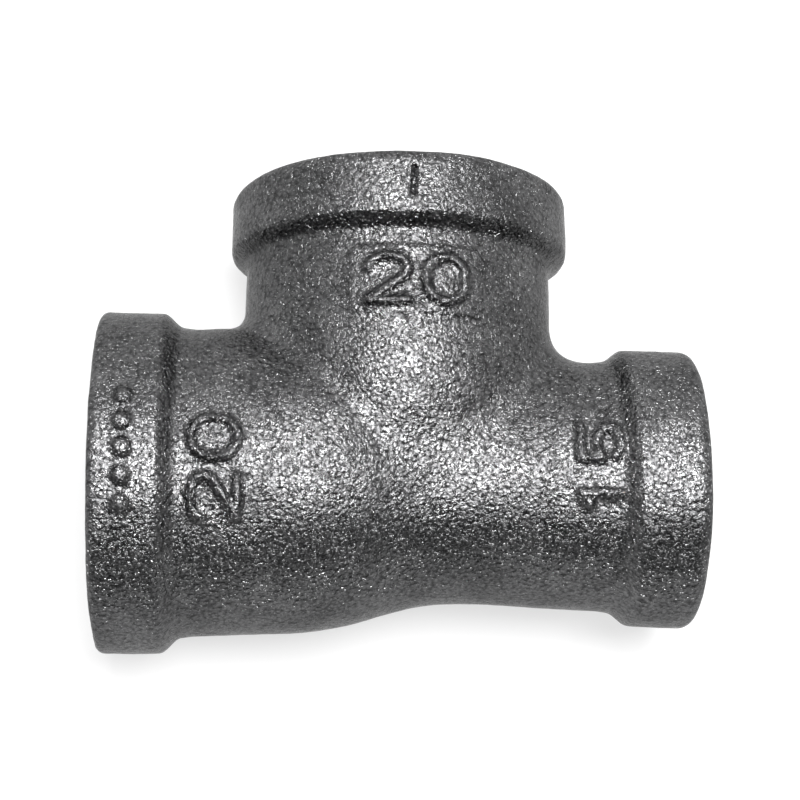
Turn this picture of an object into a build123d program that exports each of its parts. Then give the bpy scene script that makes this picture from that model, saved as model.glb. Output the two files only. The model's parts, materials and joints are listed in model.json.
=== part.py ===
from build123d import *
from build123d.topology.shape_core import SkipClean
import os
from collections import namedtuple
from math import ceil, radians, tan

# A banded malleable-iron reducing tee, in millimetres.
# It lies on its back: the run is along X with its large outlet at -X, the branch points along +Y,
# and the side with the raised marks faces +Z. It is one casting with three cut taper threads.

# From the crossing of the axes to the face of each outlet.
LARGE_RUN_REACH = 32.5
SMALL_RUN_REACH = 31.8
BRANCH_REACH = 32.3

# An outlet: the outside of the casting, the cored space behind the thread, and the cut thread.
Outlet = namedtuple("Outlet", "band_r band_w body_r core_r bore_r root_r thread_len")
LARGE = Outlet(18.55, 7.1, 16.7, 13.6, 11.9, 13.28, 13.4)
SMALL = Outlet(15.2, 7.4, 13.4, 10.8, 9.25, 10.61, 11.6)

# Band edges, and the slope from a band down to the body.
BAND_EDGE_R = 0.7
SLOPE_LEN = 1.5
SLOPE_FOOT_R = 1.0

# The run steps down from its large half to its small half along an S of two equal arcs.
STEP_START = -9.5
STEP_END = 4.0

# Toward the crossing the branch draws in along one arc and ends inside the run.
DRAW_START = 12.0
DRAW_END = -3.5
DRAW_END_R = 13.0
CROTCH_FILLET = 2.2

# The taper thread: 14 turns to the inch, 1 in 16 on the diameter, flanks at 30 degrees.
PITCH = 25.4 / 14
TAPER_SLOPE = 1 / 32
TAPER_DEG = 1.7899
FLANK_SLOPE = tan(radians(30))
ROOT_HALF_WIDTH = 0.05
TOOL_GAP = 0.12
TOOL_NECK = 0.3
MOUTH_CHAMFER = 1.5
BORE_SECTORS = 4

# Raised marks: the nominal bores 20 and 15 on the body and neck, and five plain pips on a band.
MARK_RISE = 0.55
DIGIT_STROKE = 1.25
LARGE_DIGIT = (4.6, 4.4)
SMALL_DIGIT = (3.9, 3.4)
DIGIT_GAP = 1.3
RUN_MARK_X = -19.7
RUN_MARK_Y = -1.5
SMALL_MARK_X = 20.0
SMALL_MARK_Y = -0.6
NECK_MARK_X = 1.0
NECK_MARK_Y = 18.6
PAD_SIZE = (14.2, 7.4)
PAD_RISE = 0.2
PIP_R = 0.95
PIP_STEP = 2.8
PIP_COUNT = 5

# A short saw nick across the branch band.
NICK_X = 0.6
NICK_LEN = 3.2
NICK_WIDTH = 0.7
NICK_DEPTH = 0.45

ABOVE = 40.0


def rounded(face, corner, radius):
    """Round the corner of a flat profile that is nearest to a point."""
    nearest = face.vertices().sort_by_distance(Vector(*corner))[0]
    return fillet(nearest, radius)


def step_arcs(high_r, low_r):
    """The S from the large half to the small half: two arcs that meet halfway."""
    middle = ((STEP_START + STEP_END) / 2, (high_r + low_r) / 2)
    first = TangentArc((STEP_START, high_r), middle, tangent=(1, 0))
    second = TangentArc((STEP_END, low_r), middle, tangent=(-1, 0))
    return [first, second]


def draw_arc(inset):
    """The arc of the branch's draw toward the crossing, moved in by inset, and its lower end."""
    rise = DRAW_START - DRAW_END
    pull = LARGE.body_r - DRAW_END_R
    arc_r = (pull**2 + rise**2) / (2 * pull)
    centre = LARGE.body_r - arc_r
    end = (centre + ((arc_r - inset) ** 2 - rise**2) ** 0.5, DRAW_END)
    return TangentArc((LARGE.body_r - inset, DRAW_START), end, tangent=(0, -1)), end


def run_outside():
    """The run as one turned shape: band, large half, step, small half, band."""
    large_in = -LARGE_RUN_REACH + LARGE.band_w
    small_in = SMALL_RUN_REACH - SMALL.band_w
    large_side = Polyline(
        (-LARGE_RUN_REACH, 0),
        (-LARGE_RUN_REACH, LARGE.band_r),
        (large_in, LARGE.band_r),
        (large_in + SLOPE_LEN, LARGE.body_r),
        (STEP_START, LARGE.body_r),
    )
    small_side = Polyline(
        (STEP_END, SMALL.body_r),
        (small_in - SLOPE_LEN, SMALL.body_r),
        (small_in, SMALL.band_r),
        (SMALL_RUN_REACH, SMALL.band_r),
        (SMALL_RUN_REACH, 0),
        (-LARGE_RUN_REACH, 0),
    )
    face = make_face([large_side, *step_arcs(LARGE.body_r, SMALL.body_r), small_side])
    face = rounded(face, (-LARGE_RUN_REACH, LARGE.band_r), BAND_EDGE_R)
    face = rounded(face, (large_in, LARGE.band_r), BAND_EDGE_R)
    face = rounded(face, (large_in + SLOPE_LEN, LARGE.body_r), SLOPE_FOOT_R)
    face = rounded(face, (small_in - SLOPE_LEN, SMALL.body_r), SLOPE_FOOT_R)
    face = rounded(face, (small_in, SMALL.band_r), BAND_EDGE_R)
    face = rounded(face, (SMALL_RUN_REACH, SMALL.band_r), BAND_EDGE_R)
    return revolve(face, Axis.X)


def branch_outside():
    """The branch as one turned shape about Y: band, neck, and the draw toward the run."""
    band_in = BRANCH_REACH - LARGE.band_w
    arc, end = draw_arc(0)
    side = Polyline(
        (0, DRAW_END),
        (0, BRANCH_REACH),
        (LARGE.band_r, BRANCH_REACH),
        (LARGE.band_r, band_in),
        (LARGE.body_r, band_in - SLOPE_LEN),
        (LARGE.body_r, DRAW_START),
    )
    face = make_face([side, arc, Line(end, (0, DRAW_END))])
    face = rounded(face, (LARGE.band_r, BRANCH_REACH), BAND_EDGE_R)
    face = rounded(face, (LARGE.band_r, band_in), BAND_EDGE_R)
    face = rounded(face, (LARGE.body_r, band_in - SLOPE_LEN), SLOPE_FOOT_R)
    return revolve(face, Axis.Y)


def outside():
    """Run and branch as one body with filleted crotches."""
    body = run_outside() + branch_outside()
    meeting = [e for e in body.edges() if e.geom_type not in (GeomType.CIRCLE, GeomType.LINE)]
    return fillet(meeting, CROTCH_FILLET)


def core():
    """The cored flow space, wider than the threads that lead into it."""
    run_start = -LARGE_RUN_REACH + LARGE.thread_len
    run_end = SMALL_RUN_REACH - SMALL.thread_len
    large_side = Polyline((run_start, 0), (run_start, LARGE.core_r), (STEP_START, LARGE.core_r))
    small_side = Polyline(
        (STEP_END, SMALL.core_r),
        (run_end, SMALL.core_r),
        (run_end, 0),
        (run_start, 0),
    )
    run_face = make_face([large_side, *step_arcs(LARGE.core_r, SMALL.core_r), small_side])
    arc, end = draw_arc(LARGE.body_r - LARGE.core_r)
    top = BRANCH_REACH - LARGE.thread_len
    side = Polyline((0, DRAW_END), (0, top), (LARGE.core_r, top), (LARGE.core_r, DRAW_START))
    branch_face = make_face([side, arc, Line(end, (0, DRAW_END))])
    return revolve(run_face, Axis.X) + revolve(branch_face, Axis.Y)


def outlet_frames():
    """Each outlet with the plane of its face, whose Z points out of the fitting."""
    return [
        (LARGE, Plane((-LARGE_RUN_REACH, 0, 0), x_dir=(0, 1, 0), z_dir=(-1, 0, 0))),
        (SMALL, Plane((SMALL_RUN_REACH, 0, 0), x_dir=(0, 1, 0), z_dir=(1, 0, 0))),
        (LARGE, Plane((0, BRANCH_REACH, 0), x_dir=(1, 0, 0), z_dir=(0, 1, 0))),
    ]


def bore_sectors(outlet):
    """The plain bore and its mouth chamfer as equal pie slices, from the face into the core."""
    depth = outlet.thread_len + 1
    side = Polyline(
        (0, -depth),
        (outlet.bore_r, -depth),
        (outlet.bore_r, -MOUTH_CHAMFER),
        (outlet.bore_r + MOUTH_CHAMFER, 0),
        (outlet.bore_r + MOUTH_CHAMFER, 1),
        (0, 1),
        (0, -depth),
    )
    slice_face = Plane.XZ * make_face(side)
    turn = 360 / BORE_SECTORS
    return [
        revolve(Rot(0, 0, i * turn) * slice_face, Axis.Z, revolution_arc=turn)
        for i in range(BORE_SECTORS)
    ]


def thread_turns(outlet):
    """One cutter for each turn of the taper thread, from inside the core out past the face."""
    start = -(outlet.thread_len + PITCH)
    half = (PITCH - TOOL_GAP) / 2
    flank = (half - ROOT_HALF_WIDTH) / FLANK_SLOPE
    section = make_face(
        Polyline(
            (0, -ROOT_HALF_WIDTH),
            (-flank, -half),
            (-flank - TOOL_NECK, -half),
            (-flank - TOOL_NECK, half),
            (-flank, half),
            (0, ROOT_HALF_WIDTH),
            (0, -ROOT_HALF_WIDTH),
        )
    )
    cutters = []
    for i in range(ceil(-start / PITCH)):
        z = start + i * PITCH
        r = outlet.root_r + z * TAPER_SLOPE
        path = Helix(PITCH, PITCH, r, center=(0, 0, z), cone_angle=TAPER_DEG)
        place = Plane((r, 0, z), x_dir=(1, 0, 0), z_dir=(0, -1, 0))
        cutters.append(sweep(place * section, path=path, is_frenet=True))
    return cutters


def strokes(*lines):
    """Lines drawn with a round-ended pen."""
    drawn = Sketch()
    for line in lines:
        drawn += trace(line, DIGIT_STROKE)
        for end in (line @ 0, line @ 1):
            drawn += Pos(end.X, end.Y) * Circle(DIGIT_STROKE / 2)
    return drawn


def digit_zero(w, h):
    r = w / 2
    straight = h / 2 - r
    return strokes(
        Line((-r, -straight), (-r, straight)),
        Line((r, -straight), (r, straight)),
        CenterArc((0, straight), r, 0, 180),
        CenterArc((0, -straight), r, 180, 180),
    )


def digit_one(w, h):
    return strokes(
        Line((0, -h / 2), (0, h / 2)),
        Line((0, h / 2), (-w / 3, h / 4)),
    )


def digit_two(w, h):
    bow = CenterArc((0, h / 2 - w / 2), w / 2, 165, -205)
    foot = (-w / 2, -h / 2)
    return strokes(bow, Line(bow @ 1, foot), Line(foot, (w / 2, -h / 2)))


def digit_five(w, h):
    r = h * 0.3
    bowl = CenterArc((w / 2 - r, r - h / 2), r, 130, -265)
    shoulder = (-w / 2, h / 2)
    return strokes(Line((w / 2, h / 2), shoulder), Line(shoulder, bowl @ 0), bowl)


def number(left, right, w, step):
    """Two digits side by side, centred on the origin."""
    return Pos(-step / 2, 0) * left + Pos(step / 2, 0) * right


def raised(sketch, cylinder):
    """A flat shape carried up to a cylinder, so that its top follows the casting's curve."""
    return extrude(sketch, ABOVE) & cylinder


def run_rod(radius):
    """A round bar along the run's axis."""
    return Rot(0, 90, 0) * Cylinder(radius, 2 * ABOVE)


def branch_rod(radius):
    """A round bar along the branch's axis."""
    return Rot(90, 0, 0) * Cylinder(radius, 2 * ABOVE)


def marks():
    """The raised marks, each one standing on the side that faces +Z."""
    large_w, large_h = LARGE_DIGIT
    small_w, small_h = SMALL_DIGIT
    large_step = large_w + DIGIT_STROKE + DIGIT_GAP / 2
    small_step = small_w + DIGIT_STROKE + DIGIT_GAP / 2
    twenty = number(digit_two(large_w, large_h), digit_zero(large_w, large_h), large_w, large_step)
    fifteen = number(digit_one(small_w, small_h), digit_five(small_w, small_h), small_w, small_step)
    run_mark = Pos(RUN_MARK_X, RUN_MARK_Y) * Rot(0, 0, 90) * twenty
    small_mark = Pos(SMALL_MARK_X, SMALL_MARK_Y) * Rot(0, 0, 90) * fifteen
    neck_mark = Pos(NECK_MARK_X, NECK_MARK_Y) * twenty
    pad = Pos(NECK_MARK_X, NECK_MARK_Y) * RectangleRounded(*PAD_SIZE, DIGIT_STROKE)
    pip_x = -LARGE_RUN_REACH + LARGE.band_w / 2
    half_row = PIP_STEP * (PIP_COUNT - 1) / 2
    pips = [Pos(pip_x, i * PIP_STEP - half_row) * Circle(PIP_R) for i in range(PIP_COUNT)]
    return [
        raised(run_mark, run_rod(LARGE.body_r + MARK_RISE)),
        raised(small_mark, run_rod(SMALL.body_r + MARK_RISE)),
        raised(pad, branch_rod(LARGE.body_r + PAD_RISE)),
        raised(neck_mark, branch_rod(LARGE.body_r + PAD_RISE + MARK_RISE)),
        *[raised(pip, run_rod(LARGE.band_r + MARK_RISE)) for pip in pips],
    ]


def nick():
    """The block that the saw nick takes out of the branch band."""
    middle = Pos(NICK_X, BRANCH_REACH - LARGE.band_w / 2, LARGE.band_r)
    return middle * Box(NICK_WIDTH, NICK_LEN, 2 * NICK_DEPTH)


def tee_casting():
    """The one piece of iron: marked outside, cored inside, then bored and threaded."""
    casting = outside()
    for mark in marks():
        casting += mark
    casting = casting - nick() - core()
    # Bored in slices whose faces stay apart, so that every crest is a short piece of cylinder.
    with SkipClean():
        for outlet, face in outlet_frames():
            casting = casting.cut(*[face.location * slice_ for slice_ in bore_sectors(outlet)])
            for cutter in thread_turns(outlet):
                casting = casting.cut(face.location * cutter)
    return casting


def main():
    """Write the casting with the origin below the middle of its outline, on the ground."""
    os.makedirs("parts", exist_ok=True)
    middle_x = (SMALL_RUN_REACH - LARGE_RUN_REACH) / 2
    middle_y = (BRANCH_REACH - LARGE.band_r) / 2
    export_step(Pos(-middle_x, -middle_y, LARGE.band_r) * tee_casting(), "parts/tee_casting.step")


main()
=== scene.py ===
import json
from itertools import product
from math import ceil, pi, radians, tan

import bpy
import numpy as np
import openvdb
from mathutils import Matrix, Vector


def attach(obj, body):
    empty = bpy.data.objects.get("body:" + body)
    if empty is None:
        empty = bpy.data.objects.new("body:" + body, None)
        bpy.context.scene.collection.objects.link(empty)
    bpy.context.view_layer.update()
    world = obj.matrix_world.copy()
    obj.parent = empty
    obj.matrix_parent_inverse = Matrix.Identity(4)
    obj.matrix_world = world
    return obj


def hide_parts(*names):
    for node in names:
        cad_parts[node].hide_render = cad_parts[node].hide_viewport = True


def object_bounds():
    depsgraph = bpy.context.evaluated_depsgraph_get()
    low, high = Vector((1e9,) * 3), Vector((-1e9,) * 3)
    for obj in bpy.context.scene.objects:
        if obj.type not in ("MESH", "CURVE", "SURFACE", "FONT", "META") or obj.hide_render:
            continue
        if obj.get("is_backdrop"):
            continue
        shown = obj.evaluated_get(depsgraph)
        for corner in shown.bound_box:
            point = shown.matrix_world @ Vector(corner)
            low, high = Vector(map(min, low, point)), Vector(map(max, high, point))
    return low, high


# A banded malleable-iron reducing tee. The casting's skin and its cored inside are fields sampled on
# a grid, in millimetres about the crossing of the run and the branch. The threads are cut into them.

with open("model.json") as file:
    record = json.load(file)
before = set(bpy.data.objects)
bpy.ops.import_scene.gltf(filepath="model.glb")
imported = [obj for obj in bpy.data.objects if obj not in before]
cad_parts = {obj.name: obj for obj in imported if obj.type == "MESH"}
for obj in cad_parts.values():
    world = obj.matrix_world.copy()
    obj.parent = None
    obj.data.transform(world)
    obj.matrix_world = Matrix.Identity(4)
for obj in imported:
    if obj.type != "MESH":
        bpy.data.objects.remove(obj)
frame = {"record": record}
cad_low, cad_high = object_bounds()

MM = 0.001


def find_crossing():
    """The crossing of the axes, in metres, from the places of the outlets."""
    mounts = {m["name"]: Vector(m["pos_m"]) for m in frame["record"]["mounts"]}
    run, branch = mounts["large_run_port"], mounts["branch_port"]
    return Vector((branch.x, run.y, run.z))


CROSSING = find_crossing()

# From the crossing to each outlet's face, and the radii of the bands, body and cored space.
LARGE_REACH = (CROSSING.x - cad_low.x) / MM
SMALL_REACH = (cad_high.x - CROSSING.x) / MM
BRANCH_REACH = (cad_high.y - CROSSING.y) / MM
LARGE_BAND_R, LARGE_BODY_R, LARGE_CORE_R = 18.5, 16.7, 13.6
SMALL_BAND_R, SMALL_BODY_R, SMALL_CORE_R = 15.2, 13.6, 10.8
BRANCH_BAND_R, NECK_R = 18.68, 16.85
LARGE_BAND_W, SMALL_BAND_W, BRANCH_BAND_W = 7.1, 7.4, 6.95
BAND_TAPER = 0.05
SLOPE_LEN, BRANCH_SLOPE_LEN, FOOT_LEN, FOOT_RISE = 1.5, 1.05, 1.7, 0.22
STEP_START, STEP_END = -11.5, 5.5
DRAW_START, DRAW_END, DRAW_IN = 12.5, -3.5, 5.3

# How soft the sand leaves things: outer edges, corners of profiles, and crotches, which are
# softer towards the small outlet and sharper on the top and bottom.
LARGE_EDGE_R, SMALL_EDGE_R, BRANCH_EDGE_R = 0.95, 1.5, 1.45
CORNER_SOFTNESS, CORE_SOFTNESS, CORE_CROTCH = 0.32, 0.4, 1.5
CROTCH_SOFTNESS, CROTCH_GROWTH, CREST_SHARPNESS = 3.3, 0.05, 0.78

# How far the mould was out: tilts of the bands and faces, and faces that stand proud.
SMALL_BAND_TILT, SMALL_FACE_TILT, BRANCH_BAND_TILT = 0.03, 0.008, 0.016
FACE_PROUD = 0.12

# The threads: crest and root radius at the face, and length. The core closes to less than the
# crest at the thread's end.
LARGE_THREAD = (11.9, 13.28, 13.4)
SMALL_THREAD = (9.25, 10.61, 11.6)
PITCH = 25.4 / 14
TAPER = 1 / 32
FLANK_SLOPE = tan(radians(30))
ROOT_HALF_WIDTH = 0.05
MOUTH_CHAMFER = 1.5
CORE_CLOSING = 0.6

# Raised marks, and the saw nick and blow hole in the branch band.
MARK_RISE, MARK_SOFTNESS = 0.6, 0.42
PEN_R, PIP_R = 0.42, 0.85
RAGGEDNESS, RAGGED_CELL = 0.12, 0.9
LARGE_DIGIT, SMALL_DIGIT, DIGIT_GAP = (4.2, 4.8), (3.5, 4.2), 1.9
NECK_MARK_X, NECK_MARK_Y = 1.0, 18.6
PAD_HALF_SIZE = (7.1, 3.7)
PAD_CORNER, PAD_RISE, PAD_SOFTNESS = 1.2, 0.22, 0.25
NICK = [(0.55, 27.3), (0.7, 30.2)]
NICK_DEPTH, NICK_R, NICK_SOFTNESS = 0.6, 0.22, 0.28
HOLE_X, HOLE_Y = -9.1, 28.6
HOLE_DEPTH, HOLE_R, HOLE_SOFTNESS = 0.35, 0.2, 0.35
PIP_STEP = 2.8
PIP_COUNT = 5

SKIN_CELL = 0.29
CORE_CELL = 0.5


# Noise

rng = np.random.default_rng(11)
DIRECTIONS = rng.normal(size=(512, 3))
DIRECTIONS /= np.linalg.norm(DIRECTIONS, axis=1)[:, None]


def noise(points, cell, seed):
    """Smooth gradient noise from about -1 to 1, with a bump every cell or so."""
    spot = points / cell + 31.7 * seed
    corner = np.floor(spot).astype(np.int64)
    part = spot - corner
    ease = part**3 * (part * (part * 6 - 15) + 10)
    total = np.zeros(len(points))
    for step in product((0, 1), repeat=3):
        step = np.array(step)
        i, j, k = (corner + step).T
        pick = (i * 73856093 ^ j * 19349663 ^ k * 83492791 ^ seed * 2654435) & 511
        along = ((part - step) * DIRECTIONS[pick]).sum(axis=1)
        total += along * np.prod(np.where(step, ease, 1 - ease), axis=1)
    return 1.6 * total


# Profiles along an axis

def softened(at, values, softness):
    """A profile through the given points, blurred along its length."""
    step = 0.02
    s = np.arange(at[0] - 4, at[-1] + 4, step)
    reach = int(3 * softness / step)
    kernel = np.exp(-0.5 * (np.arange(-reach, reach + 1) * step / softness) ** 2)
    line = np.pad(np.interp(s, at, values), reach, mode="edge")
    return s, np.convolve(line, kernel / kernel.sum(), mode="valid")


def stepped(start, end, high, low):
    """Points of an S that drops from high to low along two equal arcs."""
    t = np.linspace(0, 1, 25)
    drop = np.where(t < 0.5, 2 * t**2, 1 - 2 * (1 - t) ** 2)
    return list(start + t * (end - start)), list(high + drop * (low - high))


def drawn(radius):
    """Points of the branch's side below the neck, drawn in along one arc towards the run."""
    rise = DRAW_START - DRAW_END
    arc_r = (DRAW_IN**2 + rise**2) / (2 * DRAW_IN)
    y = np.linspace(DRAW_END, DRAW_START, 25)
    return list(y), list(radius - arc_r + np.sqrt(arc_r**2 - (DRAW_START - y) ** 2))


def run_profile():
    """The run's outside: large band, body, step, small body, small band."""
    large_in = -LARGE_REACH + LARGE_BAND_W
    small_in = SMALL_REACH - SMALL_BAND_W
    step_x, step_r = stepped(STEP_START, STEP_END, LARGE_BODY_R, SMALL_BODY_R)
    large_foot, small_foot = large_in + SLOPE_LEN, small_in - SLOPE_LEN
    x = [-LARGE_REACH, large_in, large_foot, large_foot + FOOT_LEN, *step_x]
    x += [small_foot - FOOT_LEN, small_foot, small_in, SMALL_REACH]
    r = [LARGE_BAND_R, LARGE_BAND_R - BAND_TAPER, LARGE_BODY_R + FOOT_RISE, LARGE_BODY_R, *step_r]
    r += [SMALL_BODY_R, SMALL_BODY_R + FOOT_RISE, SMALL_BAND_R - BAND_TAPER, SMALL_BAND_R]
    return softened(x, r, CORNER_SOFTNESS)


def branch_profile():
    """The branch's outside: draw, neck, band."""
    band_in = BRANCH_REACH - BRANCH_BAND_W
    y, r = drawn(NECK_R)
    y += [band_in - BRANCH_SLOPE_LEN, band_in, BRANCH_REACH]
    r += [NECK_R, BRANCH_BAND_R, BRANCH_BAND_R]
    return softened(y, r, CORNER_SOFTNESS)


def run_core_profile():
    """The cored run, which closes to less than the bore where each thread begins."""
    large_end = -LARGE_REACH + LARGE_THREAD[2]
    small_end = SMALL_REACH - SMALL_THREAD[2]
    step_x, step_r = stepped(STEP_START, STEP_END, LARGE_CORE_R, SMALL_CORE_R)
    x = [large_end - 2 * CORE_CLOSING, large_end + CORE_CLOSING, *step_x]
    x += [small_end - CORE_CLOSING, small_end + 2 * CORE_CLOSING]
    r = [LARGE_THREAD[0] - CORE_CLOSING, LARGE_CORE_R, *step_r]
    r += [SMALL_CORE_R, SMALL_THREAD[0] - CORE_CLOSING]
    return softened(x, r, CORE_SOFTNESS)


def branch_core_profile():
    """The cored branch."""
    end = BRANCH_REACH - LARGE_THREAD[2]
    y, r = drawn(LARGE_CORE_R)
    y += [end - CORE_CLOSING, end + 2 * CORE_CLOSING]
    r += [LARGE_CORE_R, LARGE_THREAD[0] - CORE_CLOSING]
    return softened(y, r, CORE_SOFTNESS)


def centre_line():
    """The run's middle wanders a little, as the mould halves and the core left it."""
    x = [-LARGE_REACH, -26, -20, -13, -8, -3, 3, 7.5, 11, 18, 28, SMALL_REACH]
    return softened(x, [0, 0, 0.17, 0.35, 0.7, 0.5, 0.58, 0.75, 0.56, 0.12, -0.2, -0.3], 1.6)


# Fields: negative in the metal, zero at the surface, roughly in millimetres

def turned(radius, along, profile):
    """How far a point at a radius is outside a turned profile."""
    at, r = profile
    slope = np.interp(along, at, np.gradient(r, at))
    return (radius - np.interp(along, at, r)) / np.sqrt(1 + slope**2)


def rounded_both(a, b, radius):
    """Inside both fields, with the edge between them rounded."""
    inner = np.minimum(np.maximum(a, b), -radius)
    return inner + np.hypot(np.maximum(a + radius, 0), np.maximum(b + radius, 0))


def softly_either(a, b, softness):
    """Inside either field, with the corner between them filled."""
    fill = np.maximum(softness - np.abs(a - b), 0) / softness
    return np.minimum(a, b) - fill**2 * softness / 4


def eased(distance, half_width, softness):
    """1 within a half width, falling softly to 0 around its edge."""
    t = np.clip((half_width + softness - distance) / (2 * softness), 0, 1)
    return t * t * (3 - 2 * t)


RUN, BRANCH = run_profile(), branch_profile()
RUN_CORE, BRANCH_CORE = run_core_profile(), branch_core_profile()
CENTRE = centre_line()
NECK_SHIFT = softened([10, 24, 26, 30], [-0.2, -0.2, 0, 0], 1.0)


# Raised marks, drawn with a round pen

def arc_points(cx, cy, r, start, sweep, count=14):
    """Points along an arc, with angles in degrees."""
    a = np.radians(np.linspace(start, start + sweep, count))
    return [(cx + r * c, cy + r * s) for c, s in zip(np.cos(a), np.sin(a))]


def digit_zero(w, h):
    r = w / 2
    top = arc_points(0, h / 2 - r, r, 0, 180)
    return [top + arc_points(0, r - h / 2, r, 180, 180) + top[:1]]


def digit_one(w, h):
    return [[(-w / 3, h / 4), (0, h / 2), (0, -h / 2)]]


def digit_two(w, h):
    r = h * 0.3
    bow = [(u * w / (2 * r), v) for u, v in arc_points(0, h / 2 - r, r, 170, -210)]
    return [bow + [(-w / 2, -h / 2), (w / 2, -h / 2)]]


def digit_five(w, h):
    r = h * 0.3
    bowl = [(u * w / (2 * r), v) for u, v in arc_points(0, r - h / 2, r, 145, -290)]
    return [[(w / 2, h / 2), (-w / 2, h / 2), (-w / 2, 0)] + bowl]


def placed(lines, x, y, quarter_turns=0):
    """Pen lines turned and moved to their place."""
    c, s = ((1, 0), (0, 1))[quarter_turns]
    return [[(x + c * u - s * v, y + s * u + c * v) for u, v in line] for line in lines]


def number(left, right, w):
    """Two digits side by side about the origin."""
    shift = (w + DIGIT_GAP) / 2
    return placed(left, -shift, 0) + placed(right, shift, 0)


TWENTY = number(digit_two(*LARGE_DIGIT), digit_zero(*LARGE_DIGIT), LARGE_DIGIT[0])
FIFTEEN = number(digit_one(*SMALL_DIGIT), digit_five(*SMALL_DIGIT), SMALL_DIGIT[0])
LARGE_MARK = placed(TWENTY, -19.7, -1.5, 1)
SMALL_MARK = placed(FIFTEEN, 20.3, -0.6, 1)
NECK_MARK = placed(TWENTY, NECK_MARK_X, NECK_MARK_Y)
PIP_X = -LARGE_REACH + LARGE_BAND_W / 2
PIPS = [(PIP_X, (i - (PIP_COUNT - 1) / 2) * PIP_STEP) for i in range(PIP_COUNT)]


def pen_distance(x, y, lines):
    """Distance in plan from the nearest pen line."""
    best = np.full(np.broadcast(x, y).shape, 1e3)
    for line in lines:
        for (ax, ay), (bx, by) in zip(line, line[1:]):
            dx, dy = bx - ax, by - ay
            t = np.clip(((x - ax) * dx + (y - ay) * dy) / (dx * dx + dy * dy), 0, 1)
            best = np.minimum(best, np.hypot(x - ax - t * dx, y - ay - t * dy))
    return best


def ragged(x, y):
    """How far the sand broke away from the edges of the marks."""
    x, y = np.broadcast_arrays(x, y)
    plan = np.stack([x.ravel(), y.ravel(), np.zeros(x.size)], axis=1)
    return RAGGEDNESS * noise(plan, RAGGED_CELL, 6).reshape(x.shape)


def run_relief(x, y, z):
    """Marks and pips that stand up from the run on its +Z side."""
    pen = pen_distance(x, y, LARGE_MARK + SMALL_MARK) + ragged(x, y)
    marks = eased(pen, PEN_R, MARK_SOFTNESS)
    for px, py in PIPS:
        marks = marks + eased(np.hypot(x - px, y - py), PIP_R, MARK_SOFTNESS)
    return np.where(z > 0, MARK_RISE * marks, 0)


def branch_relief(x, y, z):
    """The pad with its mark, the saw nick in the band, and a small blow hole to its left."""
    dx = np.maximum(np.abs(x - NECK_MARK_X) - PAD_HALF_SIZE[0] + PAD_CORNER, 0)
    dy = np.maximum(np.abs(y - NECK_MARK_Y) - PAD_HALF_SIZE[1] + PAD_CORNER, 0)
    relief = PAD_RISE * eased(np.hypot(dx, dy), PAD_CORNER, PAD_SOFTNESS)
    pen = pen_distance(x, y, NECK_MARK) + ragged(x, y)
    relief = relief + MARK_RISE * eased(pen, PEN_R, MARK_SOFTNESS)
    nick, hole = pen_distance(x, y, [NICK]), np.hypot(x - HOLE_X, y - HOLE_Y)
    relief = relief - NICK_DEPTH * eased(nick, NICK_R, NICK_SOFTNESS)
    relief = relief - HOLE_DEPTH * eased(hole, HOLE_R, HOLE_SOFTNESS)
    return np.where(z > 0, relief, 0)


def run_skin(x, y, z):
    """The outside of the run between its two faces. The small band sits slightly askew."""
    off = y - np.interp(x, *CENTRE)
    askew = x + SMALL_BAND_TILT * y * np.clip((x - 18) / 4, 0, 1)
    side = turned(np.hypot(off, z), askew, RUN) - run_relief(x, y, z)
    small_face = x + SMALL_FACE_TILT * y - SMALL_REACH - FACE_PROUD
    ends = np.maximum(small_face, -LARGE_REACH - x)
    return rounded_both(side, ends, np.where(x < 0, LARGE_EDGE_R, SMALL_EDGE_R))


def branch_skin(x, y, z):
    """The outside of the branch from inside the run to its face."""
    off = x - np.interp(y, *NECK_SHIFT)
    askew = y + BRANCH_BAND_TILT * np.minimum(x, 0)
    side = turned(np.hypot(off, z), askew, BRANCH) - branch_relief(x, y, z)
    ends = np.maximum(y - BRANCH_REACH - FACE_PROUD, DRAW_END - y)
    return rounded_both(side, ends, BRANCH_EDGE_R)


def skin(x, y, z):
    softness = CROTCH_SOFTNESS + CROTCH_GROWTH * x
    softness = softness * (1 - CREST_SHARPNESS * np.clip(np.abs(z) / LARGE_BODY_R, 0, 1) ** 2)
    return softly_either(run_skin(x, y, z), branch_skin(x, y, z), softness)


def run_core(x, y, z):
    side = turned(np.hypot(y, z), x, RUN_CORE)
    return np.maximum(side, np.abs(x) - LARGE_REACH - 2)


def branch_core(x, y, z):
    side = turned(np.hypot(x, z), y, BRANCH_CORE)
    return np.maximum(side, np.maximum(y - BRANCH_REACH - 2, DRAW_END - y))


def core(x, y, z):
    return softly_either(run_core(x, y, z), branch_core(x, y, z), CORE_CROTCH)


# Meshes

def surface(field, low, high, cell):
    """The zero surface of a field as points and quads facing outward."""
    count = [ceil((b - a) / cell) + 1 for a, b in zip(low, high)]
    x, y, z = np.ogrid[: count[0], : count[1], : count[2]]
    values = field(low[0] + x * cell, low[1] + y * cell, low[2] + z * cell)
    grid = openvdb.FloatGrid(1.0)
    grid.copyFromArray(np.ascontiguousarray(np.clip(values, -1, 1), dtype=np.float32))
    points, _, quads = grid.convertToPolygons(0.0, 0.0)
    points = points.astype(np.float64) * cell + np.array(low)
    return points, faced_outward(points, quads.astype(np.int64))


def faced_outward(points, quads):
    """The quads, turned over if they enclose a negative volume."""
    a, b, c, d = (points[quads[:, i]] for i in range(4))
    volume = (np.cross(c - a, d - b) * (a + c)).sum()
    return quads if volume > 0 else quads[:, ::-1]


def gradient(field, points, reach=0.03):
    """The field's rate of change at each point."""
    sides = []
    for axis in np.eye(3) * reach:
        sides.append((field(*(points + axis).T) - field(*(points - axis).T)) / (2 * reach))
    return np.stack(sides, axis=1)


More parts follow.
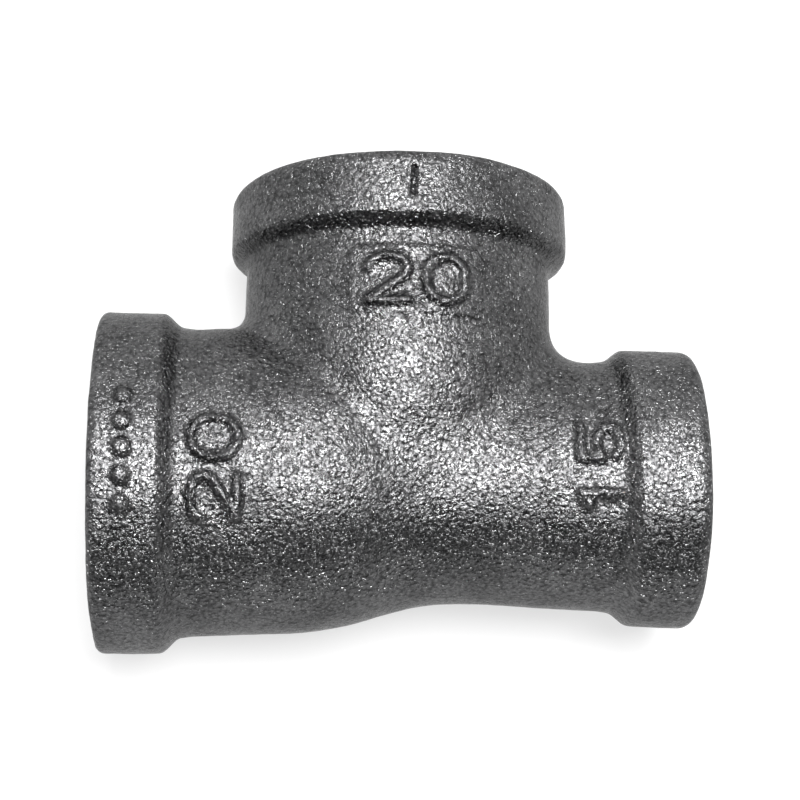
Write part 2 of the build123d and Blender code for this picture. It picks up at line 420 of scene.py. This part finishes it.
def settled(field, points):
    """The points moved onto the field's surface, and the directions they face."""
    for _ in range(2):
        slope = gradient(field, points)
        length2 = np.maximum((slope**2).sum(axis=1), 0.25)
        move = field(*points.T) / length2
        points = points - np.clip(move, -0.2, 0.2)[:, None] * slope
    slope = gradient(field, points)
    return points, slope / np.linalg.norm(slope, axis=1)[:, None]


def cast_skin(points, facing):
    """The unevenness of a sand casting: slow waves, and lumps on them."""
    waves = 0.09 * noise(points, 11.0, 1) + 0.05 * noise(points, 5.0, 2)
    lumps = 0.025 * noise(points, 2.3, 3) + 0.022 * noise(points, 1.1, 4)
    return points + (waves + lumps)[:, None] * facing


def mesh_object(name, points, faces):
    """A mesh object from points in millimetres about the crossing."""
    mesh = bpy.data.meshes.new(name)
    mesh.from_pydata((points * MM + np.array(CROSSING)).tolist(), [], faces)
    mesh.update()
    made = bpy.data.objects.new(name, mesh)
    bpy.context.scene.collection.objects.link(made)
    return made


def skin_object():
    low = (-LARGE_REACH - 1, -LARGE_BAND_R - 1, -LARGE_BAND_R - 1)
    high = (SMALL_REACH + 1, BRANCH_REACH + 1, LARGE_BAND_R + 1)
    points, quads = surface(skin, low, high, SKIN_CELL)
    points, facing = settled(skin, points)
    return mesh_object("tee_skin", cast_skin(points, facing), quads.tolist())


def core_object():
    low = (-LARGE_REACH - 3, -LARGE_CORE_R - 1, -LARGE_CORE_R - 1)
    high = (SMALL_REACH + 5, BRANCH_REACH + 3, LARGE_CORE_R + 1)
    points, quads = surface(core, low, high, CORE_CELL)
    points, facing = settled(core, points)
    return mesh_object("tee_core", cast_skin(points, facing), quads.tolist())


# Rows of the cutter along one turn of the thread, from one root to just before the next, and
# how many columns it has around the axis.
TURN_STOPS = (-ROOT_HALF_WIDTH, ROOT_HALF_WIDTH, 0.33, 0.6, 0.78, 0.907, 1.034, 1.214, 1.484)
AROUND = 96


def thread_radius(z, off, thread):
    """The cutter's radius at height z from the face, off from the middle of the nearest root."""
    crest_r, root_r, _ = thread
    cut = root_r + TAPER * z - np.maximum(np.abs(off) - ROOT_HALF_WIDTH, 0) / FLANK_SLOPE
    return np.maximum(np.maximum(cut, crest_r), crest_r + MOUTH_CHAMFER + np.minimum(z, 1.0))


def thread_cutter(name, thread, face, out, across):
    """A closed screw-shaped plug. Its rows climb with the thread, so crests and roots stay crisp."""
    turns = ceil(thread[2] / PITCH) + 3
    rows = np.array([n * PITCH + s for n in range(turns) for s in TURN_STOPS])
    off = np.tile([s if s < PITCH / 2 else s - PITCH for s in TURN_STOPS], turns)
    per_turn, last = len(TURN_STOPS), len(rows) - 1
    turn = np.arange(AROUND) / AROUND
    z = rows[None, :] + PITCH * turn[:, None] - (turns - 1.5) * PITCH
    r = thread_radius(z, off[None, :], thread)
    third = np.cross(out, across)
    angle = 2 * pi * turn[:, None, None]
    ring = np.cos(angle) * across + np.sin(angle) * third
    points = np.array(face) + z[..., None] * out + r[..., None] * ring
    ends = [np.array(face) + out * z[:, 0].mean(), np.array(face) + out * z[:, -1].mean()]
    points = np.vstack([points.reshape(-1, 3), ends])

    def at(i, j):
        return i * len(rows) + j if i < AROUND else j + per_turn

    faces = []
    for i in range(AROUND):
        stop = last if i < AROUND - 1 else last - per_turn
        faces += [(at(i, j), at(i + 1, j), at(i + 1, j + 1), at(i, j + 1)) for j in range(stop)]
    bottom = [at(i, 0) for i in range(AROUND)] + [at(0, j) for j in range(per_turn, 0, -1)]
    top = [at(i, last) for i in range(AROUND)]
    top += [at(AROUND - 1, j) for j in range(last - 1, last - per_turn - 1, -1)]
    low, high = AROUND * len(rows), AROUND * len(rows) + 1
    faces += [(low, b, a) for a, b in zip(bottom, bottom[1:] + bottom[:1])]
    faces += [(high, a, b) for a, b in zip(top, top[1:] + top[:1])]
    return mesh_object(name, points, faces)


# Each outlet: name, thread, middle of the face, way out, and a way across.
UP = np.array((0, 0, 1.0))
OUTLETS = (
    ("large", LARGE_THREAD, (-LARGE_REACH, 0, 0), np.array((-1.0, 0, 0)), UP),
    ("small", SMALL_THREAD, (SMALL_REACH, 0, 0), np.array((1.0, 0, 0)), UP),
    ("branch", LARGE_THREAD, (0, BRANCH_REACH, 0), np.array((0, 1.0, 0)), UP),
)


def cut_casting():
    """The skin with its core and threads cut out, as one closed mesh."""
    casting = skin_object()
    cutters = [core_object()] + [thread_cutter("cut_" + o[0], *o[1:]) for o in OUTLETS]
    for cutter in cutters:
        cut = casting.modifiers.new(cutter.name, "BOOLEAN")
        cut.operation, cut.solver, cut.object = "DIFFERENCE", "MANIFOLD", cutter
    shaped = casting.evaluated_get(bpy.context.evaluated_depsgraph_get())
    mesh = bpy.data.meshes.new_from_object(shaped)
    for old in [casting, *cutters]:
        bpy.data.objects.remove(old)
    mesh.name = "tee_fitting"
    made = bpy.data.objects.new("tee_fitting", mesh)
    bpy.context.scene.collection.objects.link(made)
    return made


# Zones of the finished casting

SKIN, THREAD, CORE = 0, 1, 2

# How near a face's middle is to the core, a mouth or a thread to belong to it, how far past
# its length a thread's faces reach, and how squarely the skin's flat faces look outward,
# which the cut faces never do.
CORE_NEAR, MOUTH_NEAR, THREAD_NEAR, THREAD_PAST = 0.45, 0.6, 0.05, 0.4
SQUARELY = 0.93
FLAT_DEPTH, FLAT_WIDTH = 0.35, 4.5


def local(points, outlet):
    """Height from an outlet's face, radius, and angle about its axis."""
    _, _, face, out, across = outlet
    rel = points - np.array(face)
    a, b = rel @ across, rel @ np.cross(out, across)
    return rel @ out, np.hypot(a, b), np.arctan2(b, a)


def face_middles(mesh):
    """The middle of each face, in millimetres about the crossing, and the way it faces."""
    middles, normals = np.empty((2, len(mesh.polygons) * 3))
    mesh.polygons.foreach_get("center", middles)
    mesh.polygons.foreach_get("normal", normals)
    return (middles.reshape(-1, 3) - np.array(CROSSING)) / MM, normals.reshape(-1, 3)


def zone_of(middles, normals):
    """Which surface each face belongs to, and the outlet that it is nearest to."""
    zone = np.full(len(middles), SKIN)
    outlet = np.full(len(middles), -1)
    zone[core(*middles.T) < CORE_NEAR] = CORE
    for i, o in enumerate(OUTLETS):
        z, r, _ = local(middles, o)
        crest_r, root_r, length = o[1]
        widest = np.maximum(root_r + TAPER * z, crest_r + MOUTH_CHAMFER + z) + THREAD_NEAR
        screw = (z > -length - THREAD_PAST) & (z < MOUTH_NEAR) & (r < widest)
        screw &= (z < -MOUTH_NEAR) | (normals @ o[3] < SQUARELY)
        zone[screw] = THREAD
        outlet[screw] = i
        flat = (zone == SKIN) & (z > -FLAT_DEPTH) & (r < root_r + FLAT_WIDTH)
        outlet[flat] = i
    return zone, outlet


# Materials

def node(tree, kind, **values):
    """A shader node with its settings and plain inputs set."""
    made = tree.nodes.new(kind)
    for name, value in values.items():
        if name in made.inputs:
            made.inputs[name].default_value = value
        else:
            setattr(made, name, value)
    return made


def calc(tree, operation, a, b=0.0, c=None):
    """A math node on sockets or numbers."""
    made = node(tree, "ShaderNodeMath", operation=operation)
    for place, value in enumerate((a, b) if c is None else (a, b, c)):
        if isinstance(value, (int, float)):
            made.inputs[place].default_value = value
        else:
            tree.links.new(value, made.inputs[place])
    return made.outputs[0]


def ramp(tree, source, *stops):
    """A colour ramp over a value: stops are (place, grey or colour)."""
    made = tree.nodes.new("ShaderNodeValToRGB")
    points = made.color_ramp.elements
    while len(points) < len(stops):
        points.new(0.5)
    for point, (place, colour) in zip(points, stops):
        point.position = place
        point.color = (*((colour,) * 3 if isinstance(colour, float) else colour), 1)
    tree.links.new(source, made.inputs[0])
    return made.outputs[0]


def speckle(tree, coordinate, size, detail=3.0, roughness=0.55):
    """Noise with one bump in about size metres."""
    made = node(tree, "ShaderNodeTexNoise", Scale=1 / size, Detail=detail, Roughness=roughness)
    tree.links.new(coordinate, made.inputs["Vector"])
    return made.outputs["Fac"]


def pebbles(tree, coordinate, size):
    """Rounded grains of about size metres: 1 in their middles, lower between them."""
    made = node(tree, "ShaderNodeTexVoronoi", Scale=1 / size)
    tree.links.new(coordinate, made.inputs["Vector"])
    away = made.outputs["Distance"]
    return calc(tree, "SUBTRACT", 1.0, calc(tree, "MULTIPLY", away, away))


def iron_material(name):
    """A new material with its output, shader and object coordinate."""
    material = bpy.data.materials.new(name)
    material.use_nodes = True
    tree = material.node_tree
    tree.nodes.clear()
    shader = tree.nodes.new("ShaderNodeBsdfPrincipled")
    output = tree.nodes.new("ShaderNodeOutputMaterial")
    tree.links.new(shader.outputs[0], output.inputs[0])
    place = tree.nodes.new("ShaderNodeTexCoord").outputs["Object"]
    return material, tree, shader, place


def add_bump(tree, shader, height, distance):
    made = node(tree, "ShaderNodeBump", Distance=distance, Strength=1.0)
    tree.links.new(height, made.inputs["Height"])
    tree.links.new(made.outputs[0], shader.inputs["Normal"])


def cast_iron():
    """Black as-cast iron: pebbled grain, semi-gloss, with slow tone changes and a few rust flecks."""
    material, tree, shader, place = iron_material("black_cast_iron")
    link = tree.links.new
    warp = node(tree, "ShaderNodeTexNoise", Scale=1 / 0.0011, Detail=2.0)
    link(place, warp.inputs["Vector"])
    shift = node(tree, "ShaderNodeVectorMath", operation="MULTIPLY_ADD")
    link(warp.outputs["Color"], shift.inputs[0])
    shift.inputs[1].default_value = (0.0004,) * 3
    link(place, shift.inputs[2])
    bent = shift.outputs[0]
    grains = pebbles(tree, bent, 0.00043)
    fine = speckle(tree, bent, 0.00018, 2.0)
    coarse = speckle(tree, place, 0.0011, 2.0)
    grit = calc(tree, "MAXIMUM", calc(tree, "SUBTRACT", speckle(tree, place, 0.0003, 1.0), 0.57))
    height = calc(tree, "MULTIPLY_ADD", fine, 0.9, grains)
    height = calc(tree, "MULTIPLY_ADD", grit, 6.0, height)
    add_bump(tree, shader, calc(tree, "MULTIPLY_ADD", coarse, 0.5, height), 0.00009)

    tone = speckle(tree, place, 0.006, 4.0)
    # The colour follows the grain's height as well as its slow tone: darker in the pits and lighter
    # on the tops. This is partly oxide in the pits and wear on the tops, and partly painted shade in
    # the pits and painted highlight on the tops.
    wear_and_painted_grain_shading = calc(tree, "MULTIPLY_ADD", tone, 0.35, calc(tree, "MULTIPLY", height, 0.35))
    greys = (0.46, (0.052, 0.052, 0.053)), (0.62, (0.105, 0.105, 0.107)), (0.80, (0.20, 0.20, 0.202))
    dark = ramp(tree, wear_and_painted_grain_shading, *greys)
    flecks = speckle(tree, place, 0.0022, 5.0, 0.7)
    rust = ramp(tree, flecks, (0.70, 0.0), (0.77, 0.55))
    mix = node(tree, "ShaderNodeMix", data_type="RGBA")
    link(rust, mix.inputs["Factor"])
    link(dark, mix.inputs[6])
    mix.inputs[7].default_value = (0.15, 0.095, 0.06, 1)
    link(mix.outputs[2], shader.inputs["Base Color"])
    shader.inputs["Metallic"].default_value = 1.0
    shader.inputs["Specular Tint"].default_value = (0.55, 0.55, 0.55, 1)
    rough = ramp(tree, speckle(tree, place, 0.0009, 3.0), (0.3, 0.19), (0.7, 0.34))
    link(rough, shader.inputs["Roughness"])
    return material


def cut_iron():
    """Freshly tapped iron: brighter, finely scored by the tap, with a film of cutting oil."""
    material, tree, shader, place = iron_material("tapped_iron")
    link = tree.links.new
    tone = speckle(tree, place, 0.0025, 4.0)
    colour = ramp(tree, tone, (0.3, (0.24, 0.235, 0.225)), (0.7, (0.36, 0.355, 0.345)))
    link(colour, shader.inputs["Base Color"])
    shader.inputs["Metallic"].default_value = 1.0
    rough = ramp(tree, speckle(tree, place, 0.0006, 3.0), (0.3, 0.26), (0.7, 0.42))
    link(rough, shader.inputs["Roughness"])
    add_bump(tree, shader, speckle(tree, place, 0.00025, 3.0), 0.00003)
    return material


def core_iron():
    """The cored inside: duller and rougher than the skin, as the sand core leaves it."""
    material, tree, shader, place = iron_material("cored_iron")
    link = tree.links.new
    tone = speckle(tree, place, 0.003, 4.0)
    colour = ramp(tree, tone, (0.3, (0.07, 0.068, 0.066)), (0.7, (0.12, 0.115, 0.11)))
    link(colour, shader.inputs["Base Color"])
    shader.inputs["Metallic"].default_value = 0.8
    rough = ramp(tree, speckle(tree, place, 0.0008, 3.0), (0.3, 0.5), (0.7, 0.7))
    link(rough, shader.inputs["Roughness"])
    grains = calc(tree, "ADD", pebbles(tree, place, 0.0008), speckle(tree, place, 0.0016, 4.0))
    add_bump(tree, shader, grains, 0.00022)
    return material


# Texture layout: the middle of each island, in millimetres on a square sheet

SHEET = 156.0
RUN_SPOT, BRANCH_SPOT = (53.5, 34.0), (53.5, 87.0)
FACE_SPOTS = ((128.5, 19.5), (128.5, 93.5), (128.5, 58.0))
THREAD_SPOTS = ((41.0, 124.0), (115.0, 124.0), (41.0, 140.5))
CORE_SPOTS = ((103.0, 137.5), (62.0, 149.5))
CORE_SCALE = 0.39
BRANCH_MIDDLE = 14.5


def unrolled(points, middles, along, radius):
    """A cylinder about the run (along 0) or the branch (along 1), cut open on its -Z side."""
    across = 1 - along
    angle = np.arctan2(points[:, across], points[:, 2])
    middle = np.arctan2(middles[:, across], middles[:, 2])
    angle += 2 * pi * np.round((middle - angle) / (2 * pi))
    return np.stack([angle * radius, points[:, along]], axis=1)


def laid_out(mesh, zone, outlet, middles):
    """The texture layout: every face on the sheet, cylinders unrolled and end faces flat."""
    count = len(mesh.loops)
    vertex = np.empty(count, dtype=np.int32)
    mesh.loops.foreach_get("vertex_index", vertex)
    sizes = np.empty(len(mesh.polygons), dtype=np.int32)
    mesh.polygons.foreach_get("loop_total", sizes)
    owner = np.repeat(np.arange(len(sizes)), sizes)
    where = np.empty(len(mesh.vertices) * 3)
    mesh.vertices.foreach_get("co", where)
    where = (where.reshape(-1, 3) - np.array(CROSSING)) / MM
    points, mids = where[vertex], middles[owner]
    zones, outlets = zone[owner], outlet[owner]
    on_run = (run_skin(*middles.T) <= branch_skin(*middles.T))[owner]
    in_run = (run_core(*middles.T) <= branch_core(*middles.T))[owner]
    uv = np.zeros((count, 2))

    def put(chosen, flat, spot, scale=1.0):
        uv[chosen] = flat[chosen] * scale + np.array(spot)

    run = unrolled(points, mids, 0, LARGE_BODY_R)
    branch = unrolled(points, mids, 1, LARGE_BODY_R)
    branch[:, 1] -= BRANCH_MIDDLE
    bare = (zones == SKIN) & (outlets < 0)
    put(bare & on_run, run, RUN_SPOT)
    put(bare & ~on_run, branch, BRANCH_SPOT)
    put((zones == CORE) & in_run, run, CORE_SPOTS[0], CORE_SCALE)
    put((zones == CORE) & ~in_run, branch, CORE_SPOTS[1], CORE_SCALE)
    for i, o in enumerate(OUTLETS):
        z, r, angle = local(points, o)
        _, _, middle = local(mids, o)
        angle += 2 * pi * np.round((middle - angle) / (2 * pi))
        flat = np.stack([r * np.cos(angle), r * np.sin(angle)], axis=1)
        put((zones == SKIN) & (outlets == i), flat, FACE_SPOTS[i])
        screw = np.stack([angle * o[1][0], z + o[1][2] / 2], axis=1)
        put((zones == THREAD) & (outlets == i), screw, THREAD_SPOTS[i])
    return uv / SHEET


def finished_casting():
    """The casting with its materials, texture layout and shading."""
    casting = cut_casting()
    mesh = casting.data
    mesh.materials.clear()
    for material in (cast_iron(), cut_iron(), core_iron()):
        mesh.materials.append(material)
    middles, normals = face_middles(mesh)
    zone, outlet = zone_of(middles, normals)
    mesh.polygons.foreach_set("material_index", zone.astype(np.int32))
    mesh.polygons.foreach_set("use_smooth", np.ones(len(zone), dtype=bool))
    mesh.set_sharp_from_angle(angle=radians(38))
    layer = mesh.uv_layers.new(name="OFBake")
    layer.data.foreach_set("uv", laid_out(mesh, zone, outlet, middles).ravel())
    mesh.update()
    return casting


fitting = finished_casting()
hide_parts("tee_casting")
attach(fitting, "root")


# Floor, light and camera

def floor():
    """A pale light table, which keeps the background white with only a soft shadow."""
    half, height = 3.0, min(0.0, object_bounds()[0].z)
    corners = [(x * half, y * half, height) for x, y in ((-1, -1), (1, -1), (1, 1), (-1, 1))]
    mesh = bpy.data.meshes.new("floor")
    mesh.from_pydata(corners, [], [(0, 1, 2, 3)])
    made = bpy.data.objects.new("floor", mesh)
    bpy.context.scene.collection.objects.link(made)
    material = bpy.data.materials.new("pale_floor")
    material.use_nodes = True
    shader = material.node_tree.nodes["Principled BSDF"]
    shader.inputs["Base Color"].default_value = (0.23, 0.23, 0.23, 1)
    shader.inputs["Roughness"].default_value = 0.9
    shader.inputs["Specular IOR Level"].default_value = 0.1
    shader.inputs["Emission Color"].default_value = (1, 1, 1, 1)
    shader.inputs["Emission Strength"].default_value = 0.68
    mesh.materials.append(material)
    made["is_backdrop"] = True


def soft_light(name, place, target, size, watts):
    """A square soft box that faces the target."""
    data = bpy.data.lights.new(name, "AREA")
    data.size, data.energy = size, watts
    made = bpy.data.objects.new(name, data)
    made.location = place
    made.rotation_euler = (Vector(target) - Vector(place)).to_track_quat("-Z", "Y").to_euler()
    bpy.context.scene.collection.objects.link(made)


def surroundings():
    """Pale room light, brighter to +Y and dimmer to -Y."""
    world = bpy.data.worlds.new("room")
    world.use_nodes = True
    tree = world.node_tree
    tree.nodes.clear()
    place = tree.nodes.new("ShaderNodeTexCoord")
    split = tree.nodes.new("ShaderNodeSeparateXYZ")
    tree.links.new(place.outputs["Generated"], split.inputs[0])
    side = calc(tree, "MULTIPLY_ADD", split.outputs["Y"], 0.5, 0.5)
    light = ramp(tree, side, (0.0, 0.02), (0.25, 0.24), (0.5, 0.8), (1.0, 1.18))
    lit = node(tree, "ShaderNodeBackground", Strength=1.0)
    tree.links.new(light, lit.inputs["Color"])
    seen = node(tree, "ShaderNodeBackground", Strength=1.0, Color=(0.95, 0.95, 0.95, 1))
    pick = tree.nodes.new("ShaderNodeMixShader")
    tree.links.new(tree.nodes.new("ShaderNodeLightPath").outputs["Is Camera Ray"], pick.inputs[0])
    tree.links.new(lit.outputs[0], pick.inputs[1])
    tree.links.new(seen.outputs[0], pick.inputs[2])
    output = tree.nodes.new("ShaderNodeOutputWorld")
    tree.links.new(pick.outputs[0], output.inputs[0])
    bpy.context.scene.world = world


KEY_FROM, KEY_SIZE, KEY_WATTS = Vector((0.05, 0.012, 0.6)), 0.2, 8.4
CAMERA_BACK = Vector((-0.0497, -0.2321, 0.9714)).normalized()
CAMERA_TARGET = CROSSING + Vector((0.107, 9.601, 0)) * MM
CAMERA_DISTANCE = 240.82 * MM
LENS = 98.07


def camera():
    data = bpy.data.cameras.new("camera")
    data.lens, data.sensor_width = LENS, 36.0
    data.clip_start, data.clip_end = 0.01, 20.0
    made = bpy.data.objects.new("camera", data)
    right = Vector((0, 1, 0)).cross(CAMERA_BACK).normalized()
    up = CAMERA_BACK.cross(right)
    turn = Matrix((right, up, CAMERA_BACK)).transposed()
    place = CAMERA_TARGET + CAMERA_BACK * CAMERA_DISTANCE
    made.matrix_world = Matrix.Translation(place) @ turn.to_4x4()
    bpy.context.scene.collection.objects.link(made)
    bpy.context.scene.camera = made


floor()
surroundings()
camera()
soft_light("key", CROSSING + KEY_FROM, CROSSING, KEY_SIZE, KEY_WATTS)
scene = bpy.context.scene
scene.view_settings.view_transform = "Standard"
